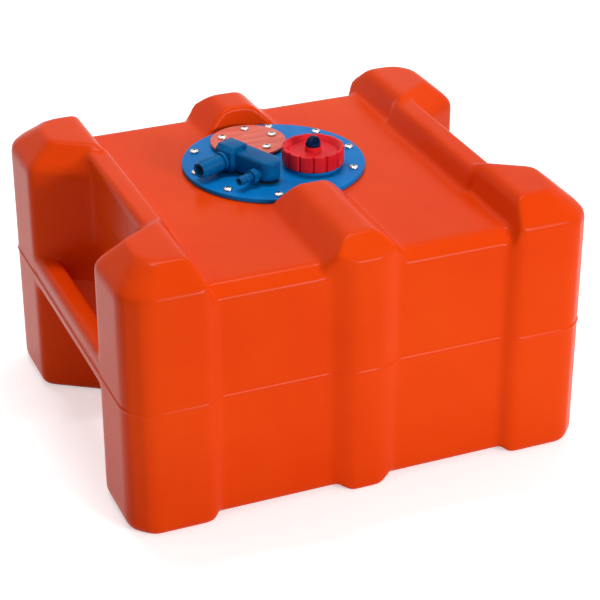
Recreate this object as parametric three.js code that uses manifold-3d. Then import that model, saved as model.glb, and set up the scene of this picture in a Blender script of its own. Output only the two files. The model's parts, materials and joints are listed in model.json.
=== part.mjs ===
import * as THREE from 'three';
import { mergeVertices } from 'three/addons/utils/BufferGeometryUtils.js';
import Module from 'manifold-3d';

const wasm = await Module();
wasm.setup();

// Portable outboard fuel tank, millimetres, +Z up.
// The origin is on the ground at the tank's centre, X runs along the length, -Y is the front.

// Tank body
const tankLength = 500;
const tankWidth = 427;
const tankHeight = 289;
const wallThickness = 5;
const deckDrop = 30; // deck below the tops of the corner posts
const panelSetback = 9.5; // side panels behind the faces of the posts
const panelLift = 5; // underside of the middle above the feet
const cornerChamfer = 20;
const footRound = 10;
const partingProud = 1.5; // ridge left by the mould's parting line
const partingHalfHeight = 4;

// End beams and their corner posts
const postFaceLength = 85;
const postFlankRun = 12;
const postTopLength = 78;
const deckFlankRun = 10;
const postChamferIn = 28;
const postChamferDrop = 24;
const postEdgeRound = 12;
const flankRound = 9;

// Hand recess in each end, and the bar across it
const recessDepth = 58;
const recessMouth = 226;
const recessBack = 150;
const recessRimIn = 35;
const recessRimDrop = 35;
const recessSideRimIn = 26;
const recessRound = 14;
const barThickness = 25;
const barHeight = 40;
const barRound = 9;
const barRoot = 22;
const barWall = 4;

// Raised band round the middle
const bandFaceWidth = 35;
const bandFootWidth = 71;
const bandDeckWidth = 84;
const bandDrop = 4;
const bandChamfer = 21.5;
const bandRound = 8;

// Deck edge over the side panels
const deckChamferIn = 14;
const deckChamferDrop = 10.7;
const deckEdgeRound = 8;

// Seat for the fitting plate
const plateSetBack = 40.5; // plate centre behind the tank's centre
const scoopClearance = 3;
const scoopDraft = 5;
const mouthRadius = 76;
const seatRingDepth = 15;

// Fit between touching pieces
const seatGap = 0.3;
const overrun = 2;

// Fitting plate with its filler neck
const plateRadius = 97.5;
const plateThickness = 5;
const plateEdge = 1;
const gasketThickness = 1.5;
const gasketInner = 81;
const gasketOuter = 94;
const boltCircleRadius = 87.5;
const neckX = 34.5;
const neckY = -26.5;
const neckBore = 22.5;
const neckOuter = 26.5;
const neckHeight = 10.4;
const neckCollarOuter = 29.5;
const neckCollarHeight = 2.5;

// Pan head screws and brass inserts
const screwRadius = 2.4;
const screwHeadRadius = 4.7;
const screwHeadHeight = 3.2;
const screwHeadRim = 1.3;
const screwHoleGap = 0.5;
const plateScrewLength = 14;
const insertRadius = 4.2;
const insertLength = 10;

// Sender cover
const senderX = -9.6;
const senderY = 49.5;
const senderRadius = 41;
const senderThickness = 3;
const senderOpening = 22;
const senderGasketInner = 24;
const senderGasketOuter = 39.5;
const senderBoltRadius = 28.5;
const senderBoltCount = 5;
const senderBoltTurn = 149.2;
const senderScrewLength = 8.6;

// Pickup head: a block that carries the two hose barbs
const headTurn = -66; // degrees, its long axis against the tank's length
const headFront = -52;
const headWidth = 26;
const headLeft = -24;
const headRight = 43;
const headHeight = 24;
const headRound = 6;
const headGasketThickness = 1.2;
const headGasketInset = 1.5;
const ventBlockLeft = -29;
const ventBlockRight = -5;
const ventBlockFront = -58;
const ventBlockWidth = 24;
const ventBlockHeight = 29;
const ventBlockSlope = 4;

// Hose barbs
const ventBarbS = -18;
const ventBarbHeight = 12.5;
const ventBarbRadius = 8.2;
const ventBarbBore = 5.4;
const ventBarbLength = 34;
const ventShankRadius = 7.8;
const ventCollarRadius = 10.4;
const ventCollarLength = 4;
const ventRibs = 5;
const ventRibProud = 1.4;
const fuelBarbS = 28.5;
const fuelBarbHeight = 10.5;
const fuelBarbRadius = 4.3;
const fuelBarbBore = 2.6;
const fuelBarbLength = 28;
const fuelShankRadius = 5;
const fuelNeckLength = 5;
const fuelHexFlats = 14;
const fuelHexLength = 6.5;
const fuelRibs = 2;
const fuelRibProud = 0.8;
const barbPlug = 9;

// Seals of round section
const sealRadius = 0.7;
const sealGap = 0.25;

// Ports through the plate, with their nuts underneath
const portSetBack = 13;
const ventPortRadius = 8;
const ventPortBore = 5;
const fuelPortRadius = 6.5;
const fuelPortBore = 4.4;
const portLength = 14;
const nutHeight = 6;
const nutWall = 5;

// Pickup tube and strainer
const pickupTubeRadius = 4.1;
const pickupTubeBore = 3;
const pickupTubePlug = 10;
const strainerRadius = 10;
const strainerHeight = 26;
const strainerWall = 1.5;
const strainerFoot = 3;
const strainerSocket = 8;
const strainerSlots = 8;
const strainerSlotWidth = 3.2;

// Filler cap
const capRadius = 33;
const capBottom = 4;
const capTop = 22;
const capFloor = 16;
const capDeckThickness = 3;
const capSkirtBore = 28;
const capDishRadius = 25.4;
const capDishStep = 1.5;
const capRimRadius = 29.8;
const capLobes = 14;
const capLobeTurn = -112.5;
const capGrooveDepth = 2.2;
const capEdge = 1;
const capSealThickness = 2;
const bossRadius = 9;
const bossTopRadius = 8.5;
const bossTop = 22.4;
const bossBore = 3.2;

// Vent knob in the cap
const knobBaseRadius = 8.2;
const knobBaseHeight = 2.6;
const knobWingWidth = 15.5;
const knobWingHeight = 8;
const knobWingThickness = 7;
const knobWingTurn = 20;
const knobStemRadius = 2.7;
const ventSealCentreRadius = 5;
const ventSealRecess = 6.6;

// Number of facets round each kind of round piece
const plateFacets = 64;
const midFacets = 36;
const smallFacets = 16;
const screwFacets = 10;

// Shares that shape curves: no size of their own
const lobeShares = [[0, 1], [0.07, 0.25], [0.28, 0], [0.72, 0], [0.93, 0.25]];
const edgeShares = [[1, 0], [0.5, 0.13], [0.13, 0.5], [0, 1]];
const roundLimitShare = 0.45;
const boltTurnShares = [0, 0.1, 0.2, 0.4, 0.5, 0.6, 0.7, 0.8, 0.9]; // the place at 0.3 stays empty

// Heights that follow
const deckHeight = tankHeight - deckDrop;
const halfLength = tankLength / 2 - partingProud;
const halfWidth = tankWidth / 2 - partingProud;
const panelFace = halfWidth - panelSetback;
const middleHeight = tankHeight / 2;
const bandTop = tankHeight - bandDrop;
const scoopRadius = plateRadius + scoopClearance;
const plateTop = seatGap + plateThickness;
const recessHalfMouth = recessMouth / 2;
const recessHalfBack = recessBack / 2;
const postFlank = tankLength / 2 - postFaceLength;
const beamInner = (bandDeckWidth / 2 + postFlank) / 2;

const material = (color, roughness, metalness = 0) =>
  new THREE.MeshStandardMaterial({ color, roughness, metalness, flatShading: true });

const orangeTank = () => material(0xe0421a, 0.42);
const bluePlate = () => material(0x0a64b4, 0.35);
const blueHead = () => material(0x0a4f96, 0.4);
const redCover = () => material(0xe8706a, 0.45);
const redCap = () => material(0xdc3737, 0.35);
const navyKnob = () => material(0x0c2a5c, 0.35);
const blackRubber = () => material(0x1b1b1d, 0.8);
const steel = () => material(0xc9c9c6, 0.3, 1);
const brass = () => material(0xb8923f, 0.35, 1);
const paleStrainer = () => material(0xd9d6cc, 0.6);

// Closed meshes and solids

function weld(geometry) {
  const bare = geometry.clone();
  bare.deleteAttribute('normal');
  bare.deleteAttribute('uv');
  const merged = mergeVertices(bare);
  const kept = [];
  const corners = merged.index.array;
  for (let i = 0; i < corners.length; i += 3) {
    const [a, b, c] = corners.slice(i, i + 3);
    if (a !== b && b !== c && c !== a) kept.push(a, b, c);
  }
  merged.setIndex(kept);
  return merged;
}

function solidOf(geometry) {
  const welded = weld(geometry);
  return new wasm.Manifold(new wasm.Mesh({
    numProp: 3,
    vertProperties: new Float32Array(welded.attributes.position.array),
    triVerts: new Uint32Array(welded.index.array),
  }));
}

function geometryOf(solid) {
  const mesh = solid.getMesh();
  const geometry = new THREE.BufferGeometry();
  geometry.setAttribute('position', new THREE.BufferAttribute(new Float32Array(mesh.vertProperties), 3));
  geometry.setIndex(Array.from(mesh.triVerts));
  return geometry;
}

const joined = (...solids) => solids.reduce((whole, solid) => whole.add(solid));
const cutBy = (solid, ...cutters) => cutters.reduce((rest, cutter) => rest.subtract(cutter), solid);

// Outlines: counter-clockwise lists of [x, y]

function offsetOutline(points, insets) {
  const count = points.length;
  const sides = points.map(([x, y], i) => {
    const [nextX, nextY] = points[(i + 1) % count];
    const run = Math.hypot(nextX - x, nextY - y);
    const normal = [(y - nextY) / run, (nextX - x) / run];
    const inset = Array.isArray(insets) ? insets[i] : insets;
    return { normal, reach: normal[0] * x + normal[1] * y + inset };
  });
  return sides.map((side, i) => {
    const last = sides[(i + count - 1) % count];
    const cross = last.normal[0] * side.normal[1] - last.normal[1] * side.normal[0];
    return [
      (last.reach * side.normal[1] - side.reach * last.normal[1]) / cross,
      (last.normal[0] * side.reach - side.normal[0] * last.reach) / cross,
    ];
  });
}

function roundCorners(points, radii, steps) {
  const count = points.length;
  return points.flatMap((point, i) => {
    const radius = Array.isArray(radii) ? radii[i] : radii;
    if (radius === 0) return [point];
    const corner = new THREE.Vector2(...point);
    const before = new THREE.Vector2(...points[(i + count - 1) % count]).sub(corner);
    const after = new THREE.Vector2(...points[(i + 1) % count]).sub(corner);
    const room = Math.min(before.length(), after.length()) * roundLimitShare;
    const cosine = before.dot(after) / (before.length() * after.length());
    const reach = Math.min(room, radius / Math.tan(Math.acos(cosine) / 2));
    const from = corner.clone().addScaledVector(before.normalize(), reach);
    const to = corner.clone().addScaledVector(after.normalize(), reach);
    const curve = new THREE.QuadraticBezierCurve(from, corner, to);
    return curve.getPoints(steps).map(({ x, y }) => [x, y]);
  });
}

// An arc of points that softens one corner, starting and ending a stated way from it
function softCorner(from, corner, to, steps = 3) {
  const [start, middle, end] = [from, corner, to].map((point) => new THREE.Vector2(...point));
  return new THREE.QuadraticBezierCurve(start, middle, end).getPoints(steps).map(({ x, y }) => [x, y]);
}

const alongX = new THREE.Matrix4().makeBasis(
  new THREE.Vector3(0, 1, 0), new THREE.Vector3(0, 0, 1), new THREE.Vector3(1, 0, 0));
const alongY = new THREE.Matrix4().makeBasis(
  new THREE.Vector3(1, 0, 0), new THREE.Vector3(0, 0, 1), new THREE.Vector3(0, -1, 0));

// A prism on an outline: [x, y] along Z, [y, z] along X or [x, z] along Y
function prism(points, from, to, axis = 'z') {
  const shape = new THREE.Shape(points.map(([x, y]) => new THREE.Vector2(x, y)));
  const geometry = new THREE.ExtrudeGeometry(shape, { depth: to - from, bevelEnabled: false });
  if (axis === 'z') return geometry.translate(0, 0, from);
  if (axis === 'x') return geometry.applyMatrix4(alongX).translate(from, 0, 0);
  return geometry.applyMatrix4(alongY).translate(0, to, 0);
}

// A closed skin through outlines of equal count at rising heights
function stack(levels) {
  const count = levels[0].outline.length;
  const places = levels.flatMap(({ z, outline }) => outline.flatMap(([x, y]) => [x, y, z]));
  const faces = [];
  for (let level = 0; level < levels.length - 1; level += 1) {
    for (let i = 0; i < count; i += 1) {
      const low = level * count;
      const next = (i + 1) % count;
      faces.push(low + i, low + next, low + count + next);
      faces.push(low + i, low + count + next, low + count + i);
    }
  }
  const top = (levels.length - 1) * count;
  const cap = (level) => THREE.ShapeUtils.triangulateShape(
    levels[level].outline.map(([x, y]) => new THREE.Vector2(x, y)), []);
  cap(0).forEach(([a, b, c]) => faces.push(a, c, b));
  cap(levels.length - 1).forEach(([a, b, c]) => faces.push(top + a, top + b, top + c));
  const geometry = new THREE.BufferGeometry();
  geometry.setAttribute('position', new THREE.Float32BufferAttribute(places, 3));
  geometry.setIndex(faces);
  return geometry;
}

// A body of revolution about Z from [radius, height] points that rise on the outside
function turned(profile, facets) {
  const points = profile.map(([radius, height]) => new THREE.Vector2(radius, height));
  return new THREE.LatheGeometry(points, facets).rotateX(Math.PI / 2);
}

const rod = (radius, from, to, facets) =>
  turned([[0, from], [radius, from], [radius, to], [0, to]], facets);

const tube = (inner, outer, from, to, facets) =>
  turned([[inner, from], [outer, from], [outer, to], [inner, to], [inner, from]], facets);

const polar = (radius, degrees) => [
  radius * Math.cos(THREE.MathUtils.degToRad(degrees)),
  radius * Math.sin(THREE.MathUtils.degToRad(degrees)),
];

const polygon = (radius, sides, turn = 0) =>
  Array.from({ length: sides }, (_, i) => polar(radius, turn + (i * 360) / sides));

const mirrorX = (points) => points.map(([x, y]) => [-x, y]).reverse();
const mirrorY = (points) => points.map(([x, y]) => [x, -y]).reverse();

// Height of an inset along a chamfer whose two edges are rounded
function chamferInset(z, top, drop, inward, round) {
  const start = top - drop;
  if (z <= start - round) return 0;
  const slope = inward / drop;
  const eased = Math.min(1, (z - start + round) / (2 * round));
  const straight = Math.max(0, z - start - round) * slope;
  return straight + eased * eased * round * slope;
}

// Tank body. Each form is drawn at its outer size, or shrunk by a wall for the space inside.

const parting = (z) => Math.max(0, 1 - Math.abs(z - middleHeight) / partingHalfHeight) * partingProud;

// Half an end-to-end outline of the right beam, front to back
function beamOutline() {
  const mouth = halfLength;
  const back = halfLength - recessDepth;
  return [
    [beamInner, -halfWidth],
    [halfLength - cornerChamfer, -halfWidth],
    [mouth, -halfWidth + cornerChamfer],
    [mouth, -recessHalfMouth],
    [back, -recessHalfBack],
    [back, recessHalfBack],
    [mouth, recessHalfMouth],
    [mouth, halfWidth - cornerChamfer],
    [halfLength - cornerChamfer, halfWidth],
    [beamInner, halfWidth],
  ];
}

const beamRounds = [0, 1, 1, 1, 1, 1, 1, 1, 1, 0].map((share) => share * recessRound);

function beamLevels(inside) {
  const low = inside ? wallThickness : 0;
  const high = tankHeight - low;
  const rims = [recessRimDrop, postChamferDrop];
  const breaks = rims.flatMap((drop) => [tankHeight - drop - postEdgeRound / 2, tankHeight - drop,
    tankHeight - drop + postEdgeRound / 2]);
  const ridge = [middleHeight - partingHalfHeight, middleHeight, middleHeight + partingHalfHeight];
  const foot = edgeShares.map(([, rise]) => low + rise * footRound);
  const heights = inside ? [...foot, ...breaks, high] : [...foot, ...ridge, ...breaks, high];
  return heights.filter((z) => z <= high).sort((a, b) => a - b);
}

function footInset(z, low) {
  const rise = (z - low) / footRound;
  if (rise >= 1) return 0;
  return (1 - Math.sqrt(1 - (1 - rise) ** 2)) * footRound;
}

function beamForm(wall) {
  const lowered = wall * (Math.SQRT2 - 1);
  const levels = beamLevels(wall > 0).map((z) => {
    const at = z + lowered;
    const shared = wall + footInset(z, wall) - (wall > 0 ? 0 : parting(z));
    const outer = shared + chamferInset(at, tankHeight, postChamferDrop, postChamferIn, postEdgeRound / 2);
    const side = shared + chamferInset(at, tankHeight, postChamferDrop, recessSideRimIn, postEdgeRound / 2);
    const rim = shared + chamferInset(at, tankHeight, recessRimDrop, recessRimIn, postEdgeRound / 2);
    const insets = [outer, outer, outer, side, rim, side, outer, outer, outer, 0];
    const outline = offsetOutline(beamOutline(), insets);
    return { z, outline: roundCorners(outline, beamRounds, wall > 0 ? 1 : 3) };
  });
  return solidOf(stack(levels));
}

// An upright form on one outline, with the parting ridge on the outside
function upright(outline, wall) {
  const inset = offsetOutline(outline, wall);
  const bare = [{ z: -overrun, outline: inset }, { z: tankHeight + overrun, outline: inset }];
  const ridge = [-partingHalfHeight, 0, partingHalfHeight].map((offset) => {
    const z = middleHeight + offset;
    return { z, outline: offsetOutline(outline, -parting(z)) };
  });
  return solidOf(stack(wall > 0 ? bare : [bare[0], ...ridge, bare[1]]));
}

// The beams' sloping flanks, seen from above and from the front
function flankPlan() {
  const slope = postFlankRun / panelSetback;
  const far = halfLength + overrun;
  const edge = tankLength / 2 - postFaceLength;
  const wide = halfWidth + overrun;
  const deep = panelFace - panelSetback / 2;
  const deepEdge = edge - (halfWidth - deep) * slope;
  const eased = (panelSetback / 2) * slope;
  const back = softCorner([edge + flankRound, halfWidth], [edge, halfWidth],
    [edge - eased, halfWidth - panelSetback / 2]);
  const front = mirrorY(back);
  return [[edge + flankRound, -wide], [far, -wide], [far, wide], [edge + flankRound, wide],
    ...back, [deepEdge, deep], [beamInner, deep], [beamInner, -deep], [deepEdge, -deep], ...front];
}

function flankElevation() {
  const slope = deckFlankRun / deckDrop;
  const far = halfLength + overrun;
  const edge = tankLength / 2 - postTopLength;
  const sunk = deckHeight - deckDrop / 2;
  const footEdge = tankLength / 2 - postFaceLength;
  const raised = panelLift + footRound;
  const top = softCorner([edge + flankRound, tankHeight], [edge, tankHeight],
    [edge - flankRound * slope, tankHeight - flankRound]);
  const foot = softCorner([footEdge - postFlankRun, raised], [footEdge, 0], [footEdge + footRound, 0]);
  return [
    [footEdge + footRound, -overrun], [far, -overrun], [far, tankHeight + overrun],
    [edge + flankRound, tankHeight + overrun], ...top,
    [edge - (tankHeight - sunk) * slope, sunk], [beamInner, sunk], [beamInner, raised], ...foot,
  ];
}

function beams(wall) {
  const elevation = offsetOutline(flankElevation(), wall);
  const right = beamForm(wall).intersect(upright(flankPlan(), wall))
    .intersect(solidOf(prism(elevation, -tankWidth, tankWidth, 'y')));
  const turn = new THREE.Matrix4().makeRotationZ(Math.PI);
  return joined(right, solidOf(geometryOf(right).applyMatrix4(turn)));
}

// A section across the tank: flat bottom, chamfered top, parting ridge on both faces
function crossSection(face, bottom, top, inward, drop) {
  const low = middleHeight - partingHalfHeight;
  const high = middleHeight + partingHalfHeight;
  return [
    [-face, bottom], [face, bottom],
    [face, low], [face + partingProud, middleHeight], [face, high],
    [face, top - drop], [face - inward, top], [-face + inward, top], [-face, top - drop],
    [-face, high], [-face - partingProud, middleHeight], [-face, low],
  ];
}

function plainSection(face, bottom, top, inward, drop) {
  const ridged = crossSection(face, bottom, top, inward, drop);
  return [0, 1, 5, 6, 7, 8].map((i) => ridged[i]);
}

const sectionRounds = [1, 1, 0, 0, 0, 1, 1, 1, 1, 0, 0, 0];

function sectionForm(wall, length, ...sizes) {
  const outline = wall > 0
    ? offsetOutline(plainSection(...sizes), wall)
    : roundCorners(crossSection(...sizes), sectionRounds.map((share) => share * deckEdgeRound), 3);
  return solidOf(prism(outline, -length, length, 'x'));
}

function core(wall) {
  const reach = tankLength / 2 - postFaceLength + overrun;
  return sectionForm(wall, reach, panelFace, panelLift, deckHeight, deckChamferIn, deckChamferDrop);
}

function bandPlan() {
  const face = bandFaceWidth / 2;
  const slope = (bandFootWidth / 2 - face) / panelSetback;
  const wide = halfWidth + overrun;
  const deep = panelFace - panelSetback / 2;
  const deepEdge = face + (halfWidth - deep) * slope;
  const right = softCorner([deepEdge - (deepEdge - face) / 2, (halfWidth + deep) / 2],
    [face, halfWidth], [face - bandRound, halfWidth]);
  const back = [[deepEdge, deep], ...right, [face - bandRound, wide]];
  const left = mirrorX(back);
  return [...mirrorY(left), ...mirrorY(back), ...back, ...left];
}

function bandElevation() {
  const face = bandFaceWidth / 2;
  const rise = bandTop - deckHeight;
  const slope = (bandDeckWidth / 2 - face) / rise;
  const sunk = deckHeight - rise / 2;
  const sunkEdge = face + (bandTop - sunk) * slope;
  const raised = panelLift + footRound;
  const foot = softCorner([face - bandRound, 0], [face, 0], [bandFootWidth / 2, raised]);
  const top = softCorner([face + bandRound * slope, bandTop - bandRound], [face, bandTop],
    [face - bandRound, bandTop]);
  const right = [[face - bandRound, -overrun], ...foot, [sunkEdge, sunk], ...top,
    [face - bandRound, bandTop + overrun]];
  return [...right, ...mirrorX(right)];
}

function band(wall) {
  const scoop = turned([[0, deckHeight - deckDrop / 2], [scoopRadius + wall, deckHeight - deckDrop / 2],
    [scoopRadius + wall, deckHeight], [scoopRadius + scoopDraft + wall, tankHeight + overrun],
    [0, tankHeight + overrun]], plateFacets).translate(0, plateSetBack, 0);
  const elevation = offsetOutline(bandElevation(), wall);
  const whole = sectionForm(wall, bandDeckWidth, halfWidth, 0, bandTop, bandChamfer, bandChamfer)
    .intersect(upright(bandPlan(), wall))
    .intersect(solidOf(prism(elevation, -tankWidth, tankWidth, 'y')));
  return whole.subtract(solidOf(scoop));
}

// The two hand bars
function bars(wall) {
  const outer = halfLength;
  const inner = halfLength - barThickness;
  const low = middleHeight - barHeight / 2;
  const high = middleHeight + barHeight / 2;
  const section = offsetOutline([[inner, low], [outer, low], [outer, high], [inner, high]], wall);
  const rounded = roundCorners(section, barRound - wall, 3);
  const reach = recessHalfMouth + barRoot + wall;
  return joined(
    solidOf(prism(rounded, -reach, reach, 'y')),
    solidOf(prism(mirrorX(rounded), -reach, reach, 'y')));
}

const boltAngles = boltTurnShares.map((share) => share * 360);

function atBolts(makeGeometry) {
  return boltAngles.map((angle) => {
    const [x, y] = polar(boltCircleRadius, angle);
    return solidOf(makeGeometry().translate(x, y, 0));
  });
}

function tankShell() {
  const outside = joined(core(0), beams(0), band(0), bars(0));
  const inside = joined(core(wallThickness), beams(wallThickness), band(wallThickness), bars(barWall));
  const seatRing = tube(mouthRadius, plateRadius, deckHeight - seatRingDepth,
    deckHeight - wallThickness / 2, plateFacets).translate(0, plateSetBack, 0);
  const mouth = rod(mouthRadius, deckHeight - seatRingDepth - overrun, deckHeight + overrun, plateFacets)
    .translate(0, plateSetBack, 0);
  const pocketDepth = insertLength + 2 * seatGap;
  const pockets = atBolts(() => rod(insertRadius + seatGap, deckHeight - pocketDepth,
    deckHeight + overrun, smallFacets).translate(0, plateSetBack, 0));
  return cutBy(joined(outside.subtract(inside), solidOf(seatRing)), solidOf(mouth), ...pockets);
}

// Screws, inserts and seals

function panScrew(length) {
  return turned([
    [0, -length], [screwRadius, -length], [screwRadius, 0], [screwHeadRadius, 0],
    [screwHeadRadius, screwHeadRim], [screwHeadRadius - screwHeadRim, screwHeadHeight],
    [0, screwHeadHeight],
  ], screwFacets);
}

const insertShape = () => tube(screwRadius + seatGap, insertRadius, -insertLength, 0, screwFacets);

const sealCentre = (shank) => shank + seatGap - sealGap - sealRadius;

const roundSeal = (centreRadius) =>
  new THREE.TorusGeometry(centreRadius, sealRadius, 6, 2 * screwFacets);

// Fitting plate

const toHead = ([s, n]) => {
  const [x, y] = polar(s, headTurn);
  const [acrossX, acrossY] = polar(n, headTurn + 90);
  return [x + acrossX, y + acrossY];
};

const ventPort = toHead([ventBarbS, headFront + portSetBack]);
const fuelPort = toHead([fuelBarbS, headFront + portSetBack]);

const senderBolts = Array.from({ length: senderBoltCount }, (_, i) => {
  const [x, y] = polar(senderBoltRadius, senderBoltTurn - (i * 360) / senderBoltCount);
  return [senderX + x, senderY + y];
});

function fittingPlate() {
  const recess = seatGap + gasketThickness + seatGap;
  const disc = turned([
    [0, seatGap], [gasketInner - seatGap, seatGap], [gasketInner - seatGap, recess],
    [gasketOuter + seatGap, recess], [gasketOuter + seatGap, seatGap], [plateRadius, seatGap],
    [plateRadius, plateTop - plateEdge], [plateRadius - plateEdge, plateTop], [0, plateTop],
  ], plateFacets);
  const neck = turned([
    [0, plateTop - plateEdge], [neckCollarOuter, plateTop - plateEdge],
    [neckCollarOuter, plateTop + neckCollarHeight], [neckOuter, plateTop + neckCollarHeight],
    [neckOuter, plateTop + neckHeight], [0, plateTop + neckHeight],
  ], midFacets).translate(neckX, neckY, 0);
  const drill = (x, y, radius, facets) =>
    solidOf(rod(radius, -overrun, plateTop + neckHeight + overrun, facets).translate(x, y, 0));
  const screwHole = screwRadius + screwHoleGap;
  return cutBy(joined(solidOf(disc), solidOf(neck)),
    drill(neckX, neckY, neckBore, midFacets),
    drill(senderX, senderY, senderOpening, midFacets),
    drill(...ventPort, ventPortRadius + seatGap, smallFacets),
    drill(...fuelPort, fuelPortRadius + seatGap, smallFacets),
    ...boltAngles.map((angle) => drill(...polar(boltCircleRadius, angle), screwHole, screwFacets)),
    ...senderBolts.map(([x, y]) => drill(x, y, screwHole, screwFacets)));
}

function plateGasket() {
  const ring = tube(gasketInner, gasketOuter, 2 * seatGap, seatGap + gasketThickness, plateFacets);
  return cutBy(solidOf(ring), ...atBolts(() =>
    rod(screwRadius + screwHoleGap, -overrun, plateTop, screwFacets)));
}

function senderRing(inner, outer, from, to, edge) {
  const outside = turned([[0, from], [outer, from], [outer, to - edge], [outer - edge, to], [0, to]],
    midFacets);
  const holes = senderBolts.map(([x, y]) =>
    solidOf(rod(screwRadius + screwHoleGap, from - overrun, to + overrun, screwFacets)
      .translate(x - senderX, y - senderY, 0)));
  const opening = inner > 0 ? [solidOf(rod(inner, from - overrun, to + overrun, midFacets))] : [];
  return cutBy(solidOf(outside), ...holes, ...opening);
}

// Pickup head, drawn in its own directions: s along the block, n across it

const headBase = seatGap + headGasketThickness + seatGap;

function headOutline() {
  const back = headFront + headWidth;
  const middle = headFront + headWidth / 2;
  const radius = headWidth / 2;
  const end = Array.from({ length: smallFacets / 2 + 1 }, (_, i) => {
    const [x, y] = polar(radius, -90 + (i * 360) / smallFacets);
    return [headRight - radius + x, middle + y];
  });
  return [[headLeft, headFront], ...end, [headLeft, back]];
}

function softTopped(outline, from, top, round) {
  const levels = edgeShares.map(([inset, rise]) => ({
    z: top - rise * round, outline: offsetOutline(outline, inset * round) }));
  return stack([{ z: from, outline }, ...levels.reverse()]);
}

function pickupHead() {
  const block = solidOf(softTopped(headOutline(), headBase, headHeight, headRound));
  const back = ventBlockFront + ventBlockWidth;
  const ventSide = [[ventBlockFront, headBase], [back, headBase], [back, ventBlockHeight],
    [ventBlockFront + ventBlockSlope, ventBlockHeight],
    [ventBlockFront, ventBlockHeight - ventBlockSlope]];
  const ventBlock = solidOf(prism(ventSide, ventBlockLeft, ventBlockRight, 'x'));
  const portAt = headFront + portSetBack;
  const port = (s, radius) =>
    solidOf(rod(radius, -portLength, headBase + overrun, smallFacets).translate(s, portAt, 0));
  const riser = (s, bore, top) =>
    solidOf(rod(bore, -portLength - overrun, top, smallFacets).translate(s, portAt, 0));
  const socket = (s, z, front, radius, depth) => solidOf(
    rod(radius, -overrun, depth, smallFacets).rotateX(-Math.PI / 2).translate(s, front, z));
  const passage = (s, z, front, bore) => socket(s, z, front, bore, portAt - front);
  return cutBy(
    joined(block, ventBlock, port(ventBarbS, ventPortRadius), port(fuelBarbS, fuelPortRadius)),
    riser(ventBarbS, ventPortBore, ventBarbHeight),
    riser(fuelBarbS, fuelPortBore, fuelBarbHeight),
    socket(ventBarbS, ventBarbHeight, ventBlockFront, ventShankRadius + seatGap, barbPlug + seatGap),
    socket(fuelBarbS, fuelBarbHeight, headFront, fuelShankRadius + seatGap, barbPlug + seatGap),
    passage(ventBarbS, ventBarbHeight, ventBlockFront, ventPortBore),
    passage(fuelBarbS, fuelBarbHeight, headFront, fuelBarbBore));
}

function headGasket() {
  const outline = offsetOutline(headOutline(), headGasketInset);
  const portAt = headFront + portSetBack;
  const hole = (s, radius) => solidOf(
    rod(radius + seatGap, -overrun, headBase + overrun, smallFacets).translate(s, portAt, 0));
  return cutBy(solidOf(prism(outline, seatGap, seatGap + headGasketThickness)),
    hole(ventBarbS, ventPortRadius), hole(fuelBarbS, fuelPortRadius));
}

// A barb's shank with its seal groove lies below zero, its ribbed spout above
function barbProfile(bore, shank, root, ribs, radius, proud, length) {
  const groove = sealCentre(shank) - sealRadius - sealGap;
  const grooveLow = -barbPlug / 2 - sealRadius - sealGap;
  const grooveHigh = -barbPlug / 2 + sealRadius + sealGap;
  const start = root[root.length - 1][1];
  const pitch = (length - start) / (ribs + 1);
  const teeth = Array.from({ length: ribs }, (_, i) => {
    const low = start + (i + 0.5) * pitch;
    return [[radius + proud, low], [radius, low + pitch]];
  }).flat();
  return [
    [bore, -barbPlug], [shank, -barbPlug], [shank, grooveLow], [groove, grooveLow],
    [groove, grooveHigh], [shank, grooveHigh], [shank, seatGap], ...root,
    [radius, start], [radius, start + pitch / 2], ...teeth, [radius, length], [bore, length],
    [bore, -barbPlug],
  ];
}

function ventBarb() {
  const root = [[ventCollarRadius, seatGap], [ventCollarRadius, ventCollarLength]];
  return turned(barbProfile(ventBarbBore, ventShankRadius, root, ventRibs, ventBarbRadius,
    ventRibProud, ventBarbLength), smallFacets);
}

function fuelBarb() {
  const hexEnd = fuelNeckLength + fuelHexLength;
  const root = [[fuelShankRadius, seatGap], [fuelShankRadius, hexEnd]];
  const spout = solidOf(turned(barbProfile(fuelBarbBore, fuelShankRadius, root, fuelRibs,
    fuelBarbRadius, fuelRibProud, fuelBarbLength), smallFacets));
  const hexRadius = fuelHexFlats / 2 / Math.cos(Math.PI / 6);
  const hex = solidOf(prism(polygon(hexRadius, 6), fuelNeckLength, hexEnd - seatGap));
  const bore = solidOf(rod(fuelBarbBore, fuelNeckLength - overrun, hexEnd + overrun, smallFacets));
  return joined(spout, hex.subtract(bore));
}

function portNut(radius) {
  const bore = radius + seatGap;
  const hexagon = prism(polygon((bore + nutWall) / Math.cos(Math.PI / 6), 6), -nutHeight, 0);
  return solidOf(hexagon).subtract(solidOf(rod(bore, -nutHeight - overrun, overrun, smallFacets)));
}

// Pickup tube and strainer stand under the fuel port
const strainerBottom = panelLift + wallThickness + strainerFoot;
const strainerTop = strainerBottom + strainerHeight;
const tubeTop = deckHeight - portLength + pickupTubePlug;
const tubeBottom = strainerTop - strainerSocket + seatGap;

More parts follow.
